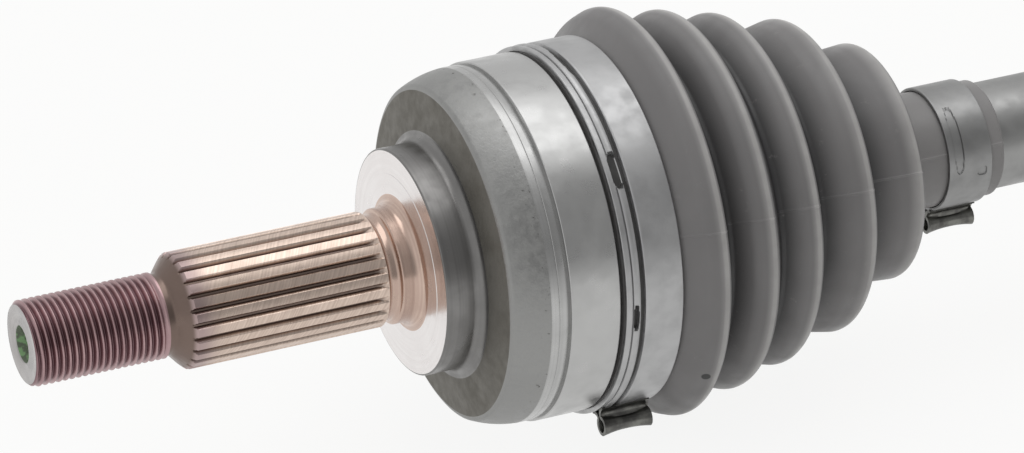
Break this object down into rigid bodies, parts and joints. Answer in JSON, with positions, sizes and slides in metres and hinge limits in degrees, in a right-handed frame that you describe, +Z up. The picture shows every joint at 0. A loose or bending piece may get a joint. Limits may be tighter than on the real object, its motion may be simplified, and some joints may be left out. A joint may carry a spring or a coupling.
{
  "type": "drive shaft",
  "caption": "Front-axle half shaft: splined wheel stub with ball-joint bell, bellows boots with ear clamps, bar, plunging joint cup and splined gearbox stub.",
  "frame": {"origin": "centre of the shoulder plane that the wheel hub seats on, on the shaft's axis", "axes": "+X along the shaft towards the gearbox, +Z up on the car, +Y towards the car's rear for a left-hand shaft"},
  "size_m": [0.6295, 0.1166, 0.1166],
  "materials": {
    "bell_paint": "light grey satin paint over a forging",
    "cup_paint": "light grey satin paint over a forging",
    "bar_paint": "mid grey satin paint",
    "stub_phosphate": "machined steel with a thin rose-brown coat",
    "race_steel": "ground",
    "cage_steel": "dark, hardened",
    "ball_steel": "polished",
    "ring_steel": "dark spring steel",
    "boot_elastomer": "matt moulded elastomer, warm grey",
    "clamp_band": "satin stainless band"
  },
  "bodies": {
    "shaft": {"axle_bar": "bar_paint", "outer_joint_race": "race_steel", "outer_joint_circlip": "ring_steel", "outer_joint_stop_ring": "ring_steel", "inner_joint_race": "race_steel", "inner_joint_circlip": "ring_steel", "inner_joint_stop_ring": "ring_steel", "outer_boot_clamp_small": "clamp_band", "inner_boot_clamp_small": "clamp_band"},
    "outer_cage": {"outer_joint_cage": "cage_steel", "outer_ball_1": "ball_steel", "outer_ball_2": "ball_steel", "outer_ball_3": "ball_steel", "outer_ball_4": "ball_steel", "outer_ball_5": "ball_steel", "outer_ball_6": "ball_steel"},
    "wheel_stub": {"wheel_stub_housing": "bell_paint", "outer_boot": "boot_elastomer", "outer_boot_clamp_large": "clamp_band"},
    "inner_cage": {"inner_joint_cage": "cage_steel", "inner_ball_1": "ball_steel", "inner_ball_2": "ball_steel", "inner_ball_3": "ball_steel", "inner_ball_4": "ball_steel", "inner_ball_5": "ball_steel", "inner_ball_6": "ball_steel"},
    "gearbox_cup": {"inner_joint_cup": "cup_paint", "inner_cup_snap_ring": "ring_steel", "inner_boot": "boot_elastomer", "inner_boot_clamp_large": "clamp_band", "gearbox_stub_circlip": "ring_steel"}
  },
  "joints": [
    {"name": "outer_joint_bend", "type": "hinge", "parent": "shaft", "child": "wheel_stub", "pos_m": [0.038, 0, 0], "axis": [0, 0, 1], "range_deg": [-42, 42], "deforming": ["outer_boot"]},
    {"name": "outer_cage_bend", "type": "hinge", "parent": "shaft", "child": "outer_cage", "pos_m": [0.038, 0, 0], "axis": [0, 0, 1], "range_deg": [-21, 21]},
    {"name": "inner_joint_bend", "type": "hinge", "parent": "shaft", "child": "inner_cage", "pos_m": [0.397, 0, 0], "axis": [0, 1, 0], "range_deg": [-20, 20]},
    {"name": "inner_joint_plunge", "type": "slide", "parent": "inner_cage", "child": "gearbox_cup", "axis": [1, 0, 0], "range_m": [-0.018, 0.018], "deforming": ["inner_boot"]}
  ],
  "couplings": [
    {"joint": "outer_cage_bend", "follows": "outer_joint_bend", "ratio": 0.5}
  ]
}
